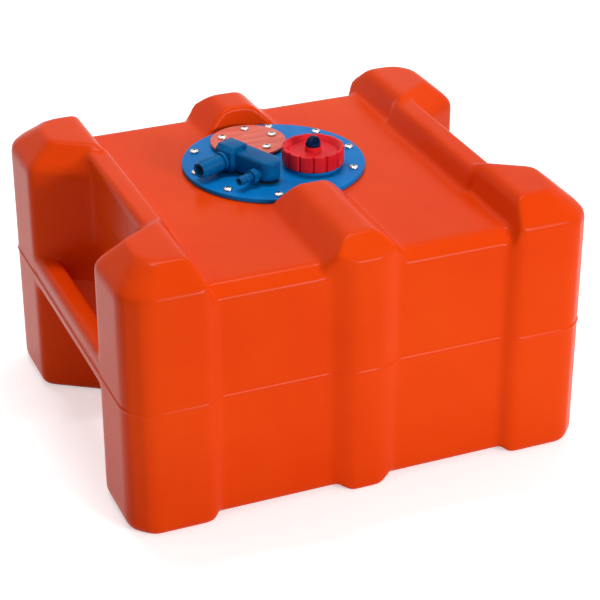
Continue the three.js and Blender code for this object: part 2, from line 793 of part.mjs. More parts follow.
function pickupStrainer() {
  const can = solidOf(rod(strainerRadius, 0, strainerHeight, smallFacets));
  const hollow = solidOf(rod(strainerRadius - strainerWall, strainerWall,
    strainerHeight - strainerSocket - strainerWall, smallFacets));
  const socket = solidOf(rod(pickupTubeRadius + seatGap, strainerHeight - strainerSocket,
    strainerHeight + overrun, smallFacets));
  const throat = solidOf(rod(pickupTubeBore, strainerHeight / 2, strainerHeight, smallFacets));
  const slotTop = strainerHeight - strainerSocket - 2 * strainerWall;
  const slotOutline = [[0, -strainerSlotWidth / 2], [strainerRadius + overrun, -strainerSlotWidth / 2],
    [strainerRadius + overrun, strainerSlotWidth / 2], [0, strainerSlotWidth / 2]];
  const slots = Array.from({ length: strainerSlots }, (_, i) => solidOf(
    prism(slotOutline, 2 * strainerWall, slotTop).rotateZ((i * 2 * Math.PI) / strainerSlots)));
  return cutBy(can, hollow, socket, throat, ...slots);
}

// Filler cap, drawn from the plate's top face

function capOutline(inset) {
  return Array.from({ length: capLobes }, (_, lobe) => lobeShares.map(([along, depth]) =>
    polar(capRadius - inset - depth * capGrooveDepth, capLobeTurn + ((lobe + along) * 360) / capLobes)))
    .flat();
}

function fillerCap() {
  const body = solidOf(stack([
    { z: capBottom, outline: capOutline(capEdge) },
    { z: capBottom + capEdge, outline: capOutline(0) },
    { z: capTop - capEdge, outline: capOutline(0) },
    { z: capTop, outline: capOutline(capEdge) },
  ]));
  const dish = solidOf(turned([[0, capFloor], [capDishRadius, capFloor],
    [capDishRadius, capFloor + capDishStep], [capRimRadius, capTop + seatGap],
    [0, capTop + seatGap]], midFacets));
  const ceiling = capFloor - capDeckThickness;
  const skirt = solidOf(rod(capSkirtBore, capBottom - overrun, ceiling, midFacets));
  const boss = solidOf(turned([[0, capFloor - capDeckThickness / 2],
    [bossRadius, capFloor - capDeckThickness / 2], [bossRadius, capFloor],
    [bossTopRadius, bossTop], [0, bossTop]], 2 * screwFacets));
  const bore = solidOf(rod(bossBore, ceiling - overrun, bossTop + overrun, screwFacets));
  const sealSeat = solidOf(rod(ventSealRecess, bossTop - 2 * sealRadius - sealGap,
    bossTop + overrun, 2 * screwFacets));
  return cutBy(joined(cutBy(body, dish, skirt), boss), bore, sealSeat);
}

function ventKnob() {
  const stemEnd = capFloor - capDeckThickness - seatGap;
  const base = turned([
    [0, stemEnd], [knobStemRadius, stemEnd], [knobStemRadius, bossTop + seatGap],
    [knobBaseRadius, bossTop + seatGap], [knobBaseRadius, bossTop + seatGap + knobBaseHeight],
    [0, bossTop + seatGap + knobBaseHeight],
  ], 2 * screwFacets);
  const wing = new THREE.Shape();
  const half = knobWingWidth / 2;
  const foot = bossTop + knobBaseHeight;
  wing.moveTo(-half, foot);
  wing.lineTo(half, foot);
  wing.absellipse(0, foot, half, knobWingHeight, 0, Math.PI, false);
  const outline = wing.extractPoints(smallFacets / 2).shape;
  const bladed = prism(outline.map(({ x, y }) => [x, y]), -knobWingThickness / 2,
    knobWingThickness / 2, 'y').rotateZ(THREE.MathUtils.degToRad(knobWingTurn));
  return joined(solidOf(base), solidOf(bladed));
}

// The assembly

const fuelTank = new THREE.Group();
const plateGroup = new THREE.Group();
const headGroup = new THREE.Group();
const capGroup = new THREE.Group();

plateGroup.position.set(0, plateSetBack, deckHeight);
headGroup.position.z = plateTop;
headGroup.rotation.z = THREE.MathUtils.degToRad(headTurn);
capGroup.position.set(neckX, neckY, plateTop);
fuelTank.add(plateGroup);
plateGroup.add(headGroup, capGroup);

function place(group, name, shape, look, x = 0, y = 0, z = 0) {
  const geometry = shape.isBufferGeometry ? weld(shape) : geometryOf(shape);
  geometry.computeVertexNormals();
  const mesh = new THREE.Mesh(geometry, look);
  mesh.name = name;
  mesh.position.set(x, y, z);
  group.add(mesh);
  return mesh;
}

place(fuelTank, 'tank_shell', tankShell(), orangeTank());

boltAngles.forEach((angle, i) => {
  const [x, y] = polar(boltCircleRadius, angle);
  place(plateGroup, `plate_insert_${i + 1}`, insertShape(), brass(), x, y, -seatGap);
  place(plateGroup, `plate_screw_${i + 1}`, panScrew(plateScrewLength), steel(),
    x, y, plateTop + seatGap);
});

place(plateGroup, 'plate_gasket', plateGasket(), blackRubber());
place(plateGroup, 'fitting_plate', fittingPlate(), bluePlate());

const senderBase = plateTop + seatGap;
const coverBase = senderBase + gasketThickness + seatGap;
place(plateGroup, 'sender_gasket', senderRing(senderGasketInner, senderGasketOuter, 0,
  gasketThickness, 0), blackRubber(), senderX, senderY, senderBase);
place(plateGroup, 'sender_cover', senderRing(0, senderRadius, 0, senderThickness, plateEdge),
  redCover(), senderX, senderY, coverBase);
senderBolts.forEach(([x, y], i) => {
  place(plateGroup, `sender_screw_${i + 1}`, panScrew(senderScrewLength), steel(),
    x, y, coverBase + senderThickness + seatGap);
});

place(headGroup, 'head_gasket', headGasket(), blackRubber());
place(headGroup, 'pickup_head', pickupHead(), blueHead());

const ventBarbMesh = place(headGroup, 'vent_barb', ventBarb(), blueHead(),
  ventBarbS, ventBlockFront, ventBarbHeight);
const fuelBarbMesh = place(headGroup, 'fuel_barb', fuelBarb(), blueHead(),
  fuelBarbS, headFront, fuelBarbHeight);
const ventSealMesh = place(headGroup, 'vent_barb_seal',
  roundSeal(sealCentre(ventShankRadius)), blackRubber(),
  ventBarbS, ventBlockFront + barbPlug / 2, ventBarbHeight);
const fuelSealMesh = place(headGroup, 'fuel_barb_seal',
  roundSeal(sealCentre(fuelShankRadius)), blackRubber(),
  fuelBarbS, headFront + barbPlug / 2, fuelBarbHeight);
[ventBarbMesh, fuelBarbMesh, ventSealMesh, fuelSealMesh].forEach((mesh) => {
  mesh.rotation.x = Math.PI / 2;
});

const nutTop = -plateThickness - seatGap;
place(headGroup, 'vent_port_nut', portNut(ventPortRadius), blueHead(),
  ventBarbS, headFront + portSetBack, nutTop);
place(headGroup, 'fuel_port_nut', portNut(fuelPortRadius), blueHead(),
  fuelBarbS, headFront + portSetBack, nutTop);

const [pickupX, pickupY] = fuelPort;
place(fuelTank, 'pickup_tube', tube(pickupTubeBore, pickupTubeRadius, tubeBottom, tubeTop, smallFacets),
  blueHead(), pickupX, plateSetBack + pickupY);
place(fuelTank, 'pickup_strainer', pickupStrainer(), paleStrainer(),
  pickupX, plateSetBack + pickupY, strainerBottom);

const capSealBase = neckHeight + seatGap;
place(capGroup, 'cap_seal', tube(neckBore, neckOuter, capSealBase, capSealBase + capSealThickness,
  midFacets), blackRubber());
place(capGroup, 'filler_cap', fillerCap(), redCap());
place(capGroup, 'vent_knob', ventKnob(), navyKnob());
place(capGroup, 'vent_knob_seal', roundSeal(ventSealCentreRadius), blackRubber(),
  0, 0, bossTop - sealRadius);

export default fuelTank;
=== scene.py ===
import json
import math

import bmesh
import bpy
from mathutils import Euler, Matrix, Vector


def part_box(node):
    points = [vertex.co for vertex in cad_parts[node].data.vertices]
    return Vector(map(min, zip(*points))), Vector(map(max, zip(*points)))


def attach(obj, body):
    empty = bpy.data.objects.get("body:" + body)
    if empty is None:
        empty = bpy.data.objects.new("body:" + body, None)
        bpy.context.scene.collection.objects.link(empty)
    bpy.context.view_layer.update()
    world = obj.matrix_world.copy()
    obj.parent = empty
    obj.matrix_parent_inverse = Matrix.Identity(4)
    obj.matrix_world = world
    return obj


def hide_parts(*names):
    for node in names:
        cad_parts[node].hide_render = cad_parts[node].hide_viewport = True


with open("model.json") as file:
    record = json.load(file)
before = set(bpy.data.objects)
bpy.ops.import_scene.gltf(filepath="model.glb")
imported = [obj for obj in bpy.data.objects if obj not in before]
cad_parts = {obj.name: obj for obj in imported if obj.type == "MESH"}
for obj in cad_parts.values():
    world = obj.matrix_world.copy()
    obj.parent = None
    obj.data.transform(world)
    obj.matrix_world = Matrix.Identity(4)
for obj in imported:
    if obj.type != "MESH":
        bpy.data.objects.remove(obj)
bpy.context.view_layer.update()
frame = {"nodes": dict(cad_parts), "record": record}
mm = 0.001
seatGap = 0.3 * mm
fullTurn = 2 * math.pi
print("frame loaded:", len(frame["nodes"]), "nodes")


# Places taken from the frame

def middle(node):
    low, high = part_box(node)
    return (low + high) / 2


plateLow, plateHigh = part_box("fitting_plate")
deckHeight = plateLow.z - seatGap
plateCentre = Vector((middle("plate_gasket").x, middle("plate_gasket").y, deckHeight))
plateRadius = (plateHigh.x - plateLow.x) / 2
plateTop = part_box("sender_gasket")[0].z - seatGap
capCentre = middle("cap_seal")
coverCentre = middle("sender_cover")


# Meshes

def meshPiece(name, vertices, faces, material, smoothAngle=40):
    mesh = bpy.data.meshes.new(name)
    mesh.from_pydata(vertices, [], faces)
    tidy = bmesh.new()
    tidy.from_mesh(mesh)
    bmesh.ops.recalc_face_normals(tidy, faces=tidy.faces)
    tidy.to_mesh(mesh)
    tidy.free()
    piece = bpy.data.objects.new(name, mesh)
    bpy.context.scene.collection.objects.link(piece)
    mesh.materials.append(material)
    softShade(piece, smoothAngle)
    return piece


def softShade(piece, smoothAngle=40):
    for polygon in piece.data.polygons:
        polygon.use_smooth = True
    piece.data.set_sharp_from_angle(angle=math.radians(smoothAngle))


def applied(piece, kind, **settings):
    modifier = piece.modifiers.new(kind.lower(), kind)
    for key, value in settings.items():
        setattr(modifier, key, value)
    ready = piece.evaluated_get(bpy.context.evaluated_depsgraph_get())
    mesh = bpy.data.meshes.new_from_object(ready)
    piece.modifiers.clear()
    old = piece.data
    piece.data = mesh
    bpy.data.meshes.remove(old)
    return piece


def eased(profile, radius, steps=4):
    # rounds the inner corners of an open profile of (radius, height) points
    points = [Vector(point) for point in profile]
    soft = [points[0]]
    for before, corner, after in zip(points, points[1:], points[2:]):
        back, ahead = before - corner, after - corner
        reach = min(radius, back.length * 0.45, ahead.length * 0.45)
        start = corner + back.normalized() * reach
        end = corner + ahead.normalized() * reach
        for step in range(steps + 1):
            along = step / steps
            soft.append(start.lerp(corner, along).lerp(corner.lerp(end, along), along))
    soft.append(points[-1])
    return [tuple(point) for point in soft]


def turned(profile, angles, reach=None):
    # rings of a turned form; a point on the axis closes to one vertex
    vertices, rings, faces = [], [], []
    for radius, height in profile:
        if radius < 1e-7:
            rings.append([len(vertices)])
            vertices.append((0, 0, height))
            continue
        rings.append(list(range(len(vertices), len(vertices) + len(angles))))
        for angle in angles:
            out = reach(radius, height, angle) if reach else radius
            vertices.append((out * math.cos(angle), out * math.sin(angle), height))
    for lower, upper in zip(rings, rings[1:]):
        for i in range(len(angles)):
            j = (i + 1) % len(angles)
            if len(lower) == 1 and len(upper) > 1:
                faces.append((lower[0], upper[j], upper[i]))
            elif len(upper) == 1 and len(lower) > 1:
                faces.append((lower[i], lower[j], upper[0]))
            elif len(lower) > 1:
                faces.append((lower[i], lower[j], upper[j], upper[i]))
    return vertices, faces


def evenAngles(count, start=0.0):
    return [start + fullTurn * i / count for i in range(count)]


def placed(vertices, at, turn=Euler((0, 0, 0))):
    place = Matrix.Translation(at) @ turn.to_matrix().to_4x4()
    return [tuple(place @ Vector(vertex)) for vertex in vertices]


def turnedPiece(name, profile, at, material, count=64, turn=Euler((0, 0, 0)), reach=None, angles=None):
    vertices, faces = turned(profile, angles or evenAngles(count), reach)
    return meshPiece(name, placed(vertices, at, turn), faces, material)


def fitted(piece, body, slot, *nodes):
    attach(piece, body)
    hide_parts(*nodes)
    return piece


def cutAway(piece, cutter, operation="DIFFERENCE"):
    applied(piece, "BOOLEAN", object=cutter, operation=operation, solver="EXACT")
    bpy.data.objects.remove(cutter)
    return piece


# Materials

class Socket:
    # a node's output that adds Math nodes when it is used in an expression
    def __init__(self, shader, output):
        self.shader = shader
        self.output = output

    def maths(self, operation, first, second):
        return self.shader.node("ShaderNodeMath", {"operation": operation}, {0: first, 1: second})

    def __add__(self, other):
        return self.maths("ADD", self, other)

    def __radd__(self, other):
        return self.maths("ADD", other, self)

    def __sub__(self, other):
        return self.maths("SUBTRACT", self, other)

    def __rsub__(self, other):
        return self.maths("SUBTRACT", other, self)

    def __mul__(self, other):
        return self.maths("MULTIPLY", self, other)

    def __rmul__(self, other):
        return self.maths("MULTIPLY", other, self)

    def __truediv__(self, other):
        return self.maths("DIVIDE", self, other)

    def __pow__(self, other):
        return self.maths("POWER", self, other)


class Finish:
    # one material; every node but the expressions' own comes from node()
    def __init__(self, name, **settings):
        self.material = bpy.data.materials.new(name)
        self.material.use_nodes = True
        self.tree = self.material.node_tree
        self.surface = self.tree.nodes["Principled BSDF"]
        for key, value in settings.items():
            self.surface.inputs[key].default_value = value
        self.place = self.node("ShaderNodeTexCoord", {}, {}, "Object")

    def node(self, kind, settings, values, output=0):
        made = self.tree.nodes.new(kind)
        for key, value in settings.items():
            if key == "stops":
                self.setStops(made, value)
            else:
                setattr(made, key, value)
        for key, value in values.items():
            self.feed(made.inputs[key], value)
        return Socket(self, made.outputs[output])

    def setStops(self, ramp, stops):
        while len(ramp.color_ramp.elements) < len(stops):
            ramp.color_ramp.elements.new(0.5)
        for element, (position, value) in zip(ramp.color_ramp.elements, stops):
            element.position = position
            element.color = (value, value, value, 1)

    def feed(self, entry, value):
        if isinstance(value, Socket):
            self.tree.links.new(value.output, entry)
        else:
            entry.default_value = value

    def noise(self, scale, detail=3, roughness=0.5, place=None):
        return self.node("ShaderNodeTexNoise", {}, {"Vector": place or self.place, "Scale": scale,
                                                   "Detail": detail, "Roughness": roughness})

    def stretched(self, x, y, z):
        return self.node("ShaderNodeMapping", {}, {"Vector": self.place, "Scale": (x, y, z)})

    def ramp(self, value, *stops):
        return self.node("ShaderNodeValToRGB", {"stops": stops}, {"Fac": value})

    def mixed(self, share, first, second):
        # colours go through Mix, whose colour sockets are numbers 6, 7 and 2
        return self.node("ShaderNodeMix", {"data_type": "RGBA"}, {0: share, 6: first, 7: second}, 2)

    def bump(self, height, strength, distance):
        return self.node("ShaderNodeBump", {}, {"Height": height, "Strength": strength,
                                               "Distance": distance})

    def paint(self, **values):
        for key, value in values.items():
            self.feed(self.surface.inputs[key.replace("_", " ")], value)
        return self.material


def shade(red, green, blue):
    # a colour as it looks on screen, 0 to 255, in the renderer's linear values
    def linear(value):
        value /= 255
        return value / 12.92 if value <= 0.04045 else ((value + 0.055) / 1.055) ** 2.4
    return (linear(red), linear(green), linear(blue), 1)


moulded = {"gloss": 0.07}
orangeSizes = {"light": (229, 69, 8), "deep": (223, 61, 4), "roughness": 0.24, "pores": 900}


def orangePolyethylene():
    sizes = orangeSizes
    finish = Finish("orange_polyethylene", **{"Specular IOR Level": moulded["gloss"], "IOR": 1.4})
    clouds = finish.noise(6, 4)
    grain = finish.noise(sizes["pores"], 2)
    ripples = finish.noise(38, 3)
    colour = finish.mixed(finish.ramp(clouds, (0.35, 0), (0.65, 1)),
                          shade(*sizes["deep"]), shade(*sizes["light"]))
    rough = sizes["roughness"] + (clouds - 0.5) * 0.1 + (grain - 0.5) * 0.06
    relief = grain * 0.35 + ripples * 0.65
    return finish.paint(Base_Color=colour, Roughness=rough,
                        Normal=finish.bump(relief, 0.12, 0.4 * mm))


def mouldedPlastic(name, light, deep, roughness, grainScale=1400):
    finish = Finish(name, **{"Specular IOR Level": moulded["gloss"]})
    clouds = finish.noise(30, 4)
    grain = finish.noise(grainScale, 2)
    flow = finish.noise(90, 4, 0.6, finish.stretched(1, 0.25, 1))
    colour = finish.mixed(finish.ramp(clouds * 0.6 + flow * 0.4, (0.35, 0), (0.65, 1)),
                          shade(*deep), shade(*light))
    rough = roughness + (clouds - 0.5) * 0.12
    return finish.paint(Base_Color=colour, Roughness=rough,
                        Normal=finish.bump(grain, 0.1, 0.2 * mm))


def streakedCover():
    finish = Finish("red_cover_plastic", **{"Specular IOR Level": 0.2})
    streaks = finish.noise(60, 5, 0.6, finish.stretched(0.35, 2.2, 1))
    grain = finish.noise(1200, 2)
    colour = finish.mixed(finish.ramp(streaks, (0.35, 0), (0.7, 1)),
                          shade(216, 92, 80), shade(234, 126, 106))
    return finish.paint(Base_Color=colour, Roughness=0.34 + streaks * 0.2,
                        Normal=finish.bump(grain, 0.1, 0.2 * mm))


def brightSteel():
    finish = Finish("stainless_steel", Metallic=1.0)
    turning = finish.noise(700, 3, 0.6, finish.stretched(1, 1, 6))
    colour = finish.mixed(turning, shade(205, 204, 200), shade(232, 231, 228))
    return finish.paint(Base_Color=colour, Roughness=0.16 + turning * 0.14,
                        Normal=finish.bump(turning, 0.08, 0.1 * mm))


def paintedShadeSteel():
    # painted shade: a dark, mottled steel colour stands in for the shadow inside the punched recesses
    finish = Finish("painted_shade_recess_steel", Metallic=0.6)
    shadeMottle = finish.noise(900, 3)
    colour = finish.mixed(shadeMottle, shade(34, 32, 30), shade(74, 71, 67))
    return finish.paint(Base_Color=colour, Roughness=0.5 + shadeMottle * 0.2)


def blackRubber():
    finish = Finish("black_rubber")
    grain = finish.noise(1100, 3)
    colour = finish.mixed(grain, shade(18, 18, 19), shade(34, 34, 35))
    return finish.paint(Base_Color=colour, Roughness=0.62 + grain * 0.2,
                        Normal=finish.bump(grain, 0.25, 0.2 * mm))


def turnedBrass():
    finish = Finish("turned_brass", Metallic=1.0)
    grain = finish.noise(900, 3)
    colour = finish.mixed(grain, shade(176, 138, 66), shade(204, 168, 92))
    return finish.paint(Base_Color=colour, Roughness=0.28 + grain * 0.15,
                        Normal=finish.bump(grain, 0.15, 0.1 * mm))


def paleNylon():
    finish = Finish("pale_nylon")
    grain = finish.noise(700, 3)
    colour = finish.mixed(grain, shade(206, 203, 192), shade(224, 221, 212))
    return finish.paint(Base_Color=colour, Roughness=0.5 + grain * 0.15,
                        Normal=finish.bump(grain, 0.2, 0.2 * mm))


tankOrange = orangePolyethylene()
plateBlue = mouldedPlastic("blue_plate_plastic", (2, 120, 194), (0, 108, 182), 0.38)
headBlue = mouldedPlastic("blue_head_plastic", (2, 100, 158), (0, 76, 130), 0.34)
capRed = mouldedPlastic("red_cap_plastic", (226, 44, 50), (206, 26, 36), 0.3)
knobNavy = mouldedPlastic("navy_knob_plastic", (8, 36, 78), (4, 24, 58), 0.3)
coverRed = streakedCover()
steelBright = brightSteel()
# painted shade for the screws' cross recesses
recessShadeSteel = paintedShadeSteel()
rubberBlack = blackRubber()
brassTurned = turnedBrass()
nylonPale = paleNylon()
print("materials mixed")


# Fitting plate with its filler neck

plateSizes = {"edge": 1.2 * mm, "neckOuter": 26.5 * mm, "neckBore": 22.5 * mm, "collarOuter": 29.5 * mm,
              "collarHeight": 2.5 * mm}


def fittingPlate():
    sizes = plateSizes
    low, top = plateLow.z - deckHeight, plateTop - deckHeight
    profile = eased([(0, low), (plateRadius, low), (plateRadius, top), (0, top)], sizes["edge"])
    plate = turnedPiece("fitting_plate_disc", profile, plateCentre, plateBlue, 160)
    neckTop = plateHigh.z - deckHeight
    neck = eased([(0, low + mm), (sizes["collarOuter"], low + mm),
                  (sizes["collarOuter"], top + sizes["collarHeight"]),
                  (sizes["neckOuter"], top + sizes["collarHeight"]),
                  (sizes["neckOuter"], neckTop), (0, neckTop)], 0.8 * mm)
    at = Vector((capCentre.x, capCentre.y, deckHeight))
    cutAway(plate, turnedPiece("neck", neck, at, plateBlue, 96), "UNION")
    cutAway(plate, drills(plateHoles(), deckHeight - mm, plateHigh.z + mm))
    softShade(plate, 32)
    return plate


def drills(holes, low, high):
    # one cutter with a rod for every hole
    vertices, faces = [], []
    for radius, hole in holes:
        rod, sides = turned([(0, low), (radius, low), (radius, high), (0, high)], evenAngles(48))
        start = len(vertices)
        vertices += placed(rod, Vector((hole.x, hole.y, 0)))
        faces += [tuple(start + corner for corner in side) for side in sides]
    return meshPiece("drills", vertices, faces, plateBlue)


def plateHoles():
    yield plateSizes["neckBore"], capCentre
    yield 22 * mm, coverCentre
    for node in ("vent_port_nut", "fuel_port_nut"):
        yield (8.3 if node.startswith("vent") else 6.8) * mm, middle(node)
    for i in range(1, 10):
        yield 2.9 * mm, middle(f"plate_screw_{i}")
    for i in range(1, 6):
        yield 2.9 * mm, middle(f"sender_screw_{i}")


fitted(fittingPlate(), "tank", "plate", "fitting_plate")
print("fitting plate turned")


# Sender cover

coverSizes = {"edge": 0.9 * mm, "holeRadius": 2.9 * mm}


def senderCover():
    low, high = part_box("sender_cover")
    radius = (high.x - low.x) / 2
    thick = high.z - low.z
    profile = eased([(0, 0), (radius, 0), (radius, thick), (0, thick)], coverSizes["edge"])
    cover = turnedPiece("sender_cover_disc", profile, Vector((coverCentre.x, coverCentre.y, low.z)),
                        coverRed, 96)
    holes = [(coverSizes["holeRadius"], middle(f"sender_screw_{i}")) for i in range(1, 6)]
    cutAway(cover, drills(holes, low.z - mm, high.z + mm))
    softShade(cover, 32)
    return cover


fitted(senderCover(), "tank", "cover", "sender_cover")
print("sender cover turned")


# Pan head screws with a cross recess

screwSizes = {"shank": 2.4 * mm, "head": 4.7 * mm, "headHeight": 3.2 * mm, "slot": 1.4 * mm,
              "slotReach": 3.2 * mm, "slotDepth": 2.2 * mm}


def panScrew(name, node, turn):
    sizes = screwSizes
    low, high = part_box(node)
    seat = high.z - sizes["headHeight"]
    at = Vector((middle(node).x, middle(node).y, seat))
    head, tall = sizes["head"], sizes["headHeight"]
    dome = [(head * math.cos(step * math.pi / 12), tall * (0.42 + 0.58 * math.sin(step * math.pi / 12)))
            for step in range(1, 6)]
    profile = [(0, low.z - seat), (sizes["shank"] * 0.7, low.z - seat),
               (sizes["shank"], low.z - seat + 1.2 * mm), (sizes["shank"], 0), (head * 0.94, 0),
               (head, 0.1 * tall), (head, 0.42 * tall), *dome, (0, tall)]
    screw = turnedPiece(name, profile, at, steelBright, 32)
    vertices, faces = crossRecess(sizes, tall)
    # the cross cutter carries the painted-shade steel, so the recess walls get painted shadow
    cutter = meshPiece("cross", placed(vertices, at, Euler((0, 0, turn))), faces, recessShadeSteel)
    applied(screw, "BOOLEAN", object=cutter, operation="DIFFERENCE", solver="EXACT",
            material_mode="TRANSFER")
    bpy.data.objects.remove(cutter)
    softShade(screw, 30)
    return screw


def crossRecess(sizes, tall):
    wide, far = sizes["slot"] / 2, sizes["slotReach"]
    outline = []
    for quarter in range(4):
        turn = Matrix.Rotation(quarter * math.pi / 2, 2)
        outline += [turn @ Vector(point) for point in ((wide, -wide), (far, -wide), (far, wide))]
    floor = [(x * 0.45, y * 0.45, tall - sizes["slotDepth"]) for x, y in outline]
    vertices = floor + [(x, y, tall + 0.4 * mm) for x, y in outline]
    count = len(outline)
    faces = [tuple(range(count)), tuple(range(count, 2 * count))]
    faces += [(i, (i + 1) % count, count + (i + 1) % count, count + i) for i in range(count)]
    return vertices, faces


screwTurns = [0.3, 1.1, 0.7, 0.1, 1.3, 0.5, 0.9, 0.2, 1.4, 0.6, 1.2, 0.4, 0.8, 0.05]
screwNodes = [f"plate_screw_{i}" for i in range(1, 10)] + [f"sender_screw_{i}" for i in range(1, 6)]
for node, turn in zip(screwNodes, screwTurns):
    fitted(panScrew(node.replace("screw", "pan_screw"), node, turn), "tank", "steel", node)
print("screws driven:", len(screwNodes))


# Pickup head, drawn along its own length s and across it n

headSizes = {"turn": -66, "front": -52 * mm, "width": 26 * mm, "left": -24 * mm, "right": 43 * mm,
             "height": 24 * mm, "round": 3.6 * mm, "blockLeft": -29 * mm, "blockRight": -5 * mm,
             "blockFront": -58 * mm, "blockBack": -34 * mm, "blockHeight": 29 * mm, "blockSlope": 5 * mm,
             "blockRound": 1.3 * mm, "lift": 1.8 * mm, "portSetBack": 13 * mm, "ventPort": 8 * mm,
             "fuelPort": 6.5 * mm, "portLength": 14 * mm}
headTurn = Euler((0, 0, math.radians(headSizes["turn"])))
headPlace = Vector((plateCentre.x, plateCentre.y, plateTop))
barbTurn = (headTurn.to_matrix() @ Euler((math.pi / 2, 0, 0)).to_matrix()).to_euler()


def onHead(s, n, height):
    return headPlace + headTurn.to_matrix() @ Vector((s, n, height))


def prismMesh(outline, low, high):
    vertices = [(x, y, low) for x, y in outline] + [(x, y, high) for x, y in outline]
    count = len(outline)
    faces = [tuple(range(count)), tuple(range(count, 2 * count))]
    faces += [(i, (i + 1) % count, count + (i + 1) % count, count + i) for i in range(count)]
    return vertices, faces


def headBlock():
    sizes = headSizes
    radius = sizes["width"] / 2
    centre = Vector((sizes["right"] - radius, sizes["front"] + radius))
    end = [centre + radius * Vector((math.cos(angle), math.sin(angle)))
           for angle in (math.radians(step) for step in range(-90, 91, 10))]
    outline = [(sizes["left"], sizes["front"]), *end, (sizes["left"], sizes["front"] + sizes["width"])]
    vertices, faces = prismMesh(outline, sizes["lift"], sizes["height"])
    block = meshPiece("pickup_head_block", placed(vertices, headPlace, headTurn), faces, headBlue)
    return applied(block, "BEVEL", width=sizes["round"], segments=5, limit_method="ANGLE",
                   angle_limit=math.radians(50))


def wedgeBlock():
    # the raised block at the left end, its front edge cut back to a slope
    sizes = headSizes
    front, back, top = sizes["blockFront"], sizes["blockBack"], sizes["blockHeight"]
    side = [(front, sizes["lift"]), (back, sizes["lift"]), (back, top),
            (front + sizes["blockSlope"], top), (front, top - sizes["blockSlope"])]
    vertices, faces = prismMesh(side, sizes["blockLeft"], sizes["blockRight"])
    upright = [(s, n, height) for n, height, s in vertices]
    block = meshPiece("wedge_block", placed(upright, headPlace, headTurn), faces, headBlue)
    return applied(block, "BEVEL", width=sizes["blockRound"], segments=3, limit_method="ANGLE",
                   angle_limit=math.radians(30))


def headRod(radius, s, low, high):
    rod, faces = turned([(0, low), (radius, low), (radius, high), (0, high)], evenAngles(48))
    at = onHead(s, headSizes["front"] + headSizes["portSetBack"], 0)
    return meshPiece("port", placed(rod, at), faces, headBlue)


def barbSocket(sizes):
    front = sizes["front"]
    depth = sizes["plug"] + seatGap
    rod, faces = turned([(0, -depth), (sizes["shank"] + seatGap, -depth),
                         (sizes["shank"] + seatGap, 2 * mm), (0, 2 * mm)], evenAngles(48))
    return meshPiece("socket", placed(rod, onHead(sizes["s"], front, sizes["height"]), barbTurn), faces,
                     headBlue)


def pickupHead():
    sizes = headSizes
    head = headBlock()
    cutAway(head, wedgeBlock(), "UNION")
    for barb, port in ((ventBarbSizes, "ventPort"), (fuelBarbSizes, "fuelPort")):
        rod = headRod(sizes[port], barb["s"], -sizes["portLength"], sizes["lift"] + 4 * mm)
        cutAway(head, rod, "UNION")
        cutAway(head, headRod(barb["riser"], barb["s"], -sizes["portLength"] - mm, barb["height"]))
        cutAway(head, barbSocket(barb))
    softShade(head, 34)
    return head


# Hose barbs; a plug with a seal groove lies behind each spout

ventBarbSizes = {"s": -18 * mm, "front": -58 * mm, "height": 12.5 * mm, "bore": 5.4 * mm, "riser": 5 * mm,
                 "radius": 8 * mm, "length": 34 * mm, "shank": 7.8 * mm, "plug": 9 * mm,
                 "root": [(10.4 * mm, seatGap), (10.4 * mm, 4 * mm)], "ribs": 5, "proud": 1.5 * mm}
fuelBarbSizes = {"s": 28.5 * mm, "front": -52 * mm, "height": 10.5 * mm, "bore": 2.6 * mm, "riser": 4.4 * mm,
                 "radius": 4.2 * mm, "length": 28 * mm, "shank": 5 * mm, "plug": 9 * mm,
                 "root": [(5 * mm, seatGap), (5 * mm, 5 * mm), (7.3 * mm, 5 * mm), (8.3 * mm, 6 * mm),
                          (8.3 * mm, 10.2 * mm), (7.3 * mm, 11.2 * mm), (5 * mm, 11.2 * mm),
                          (5 * mm, 12.4 * mm)],
                 "ribs": 2, "proud": 0.9 * mm, "hexFlats": 14 * mm}
grooveSizes = {"depth": 1 * mm, "half": 1 * mm}


def ribbed(start, sizes):
    # saw teeth, steep towards the plug and sloping to the hose's end
    pitch = (sizes["length"] - start) / (sizes["ribs"] + 0.6)
    teeth = []
    for rib in range(sizes["ribs"]):
        low = start + (rib + 0.5) * pitch
        teeth += [(sizes["radius"], low - 0.12 * pitch), (sizes["radius"] + sizes["proud"], low),
                  (sizes["radius"] + sizes["proud"], low + 0.22 * pitch),
                  (sizes["radius"], low + 0.7 * pitch)]
    return teeth


def hoseBarb(name, sizes):
    shank, plug = sizes["shank"], sizes["plug"]
    low = -plug / 2 - grooveSizes["half"]
    high = -plug / 2 + grooveSizes["half"]
    deep = shank - grooveSizes["depth"]
    start = sizes["root"][-1][1]
    lip = 0.8 * mm
    outside = [(sizes["bore"], -plug), (shank, -plug), (shank, low), (deep, low), (deep, high),
               (shank, high), (shank, seatGap), *sizes["root"], (sizes["radius"], start),
               *ribbed(start, sizes), (sizes["radius"], sizes["length"]),
               (sizes["bore"] + lip / 2, sizes["length"]), (sizes["bore"], sizes["length"] - lip),
               (sizes["bore"], -plug)]
    at = onHead(sizes["s"], sizes["front"], sizes["height"])
    barb = turnedPiece(name, eased(outside, 0.35 * mm, 2), at, headBlue, 72, barbTurn, hexReach(sizes))
    softShade(barb, 38)
    return barb


def hexReach(sizes):
    # rings wider than the hexagon's flats are drawn in to it
    if "hexFlats" not in sizes:
        return None
    flat = sizes["hexFlats"] / 2

    def reach(radius, height, angle):
        side = (angle + math.pi / 6) % (math.pi / 3) - math.pi / 6
        return min(radius, flat / math.cos(side)) if radius > flat else radius
    return reach


fitted(pickupHead(), "tank", "head", "pickup_head")
fitted(hoseBarb("large_hose_barb", ventBarbSizes), "tank", "head", "vent_barb")
fitted(hoseBarb("small_hose_barb", fuelBarbSizes), "tank", "head", "fuel_barb")
print("pickup head and barbs moulded")


# Filler cap: lobes divided by narrow grooves, and a dish round the vent's boss

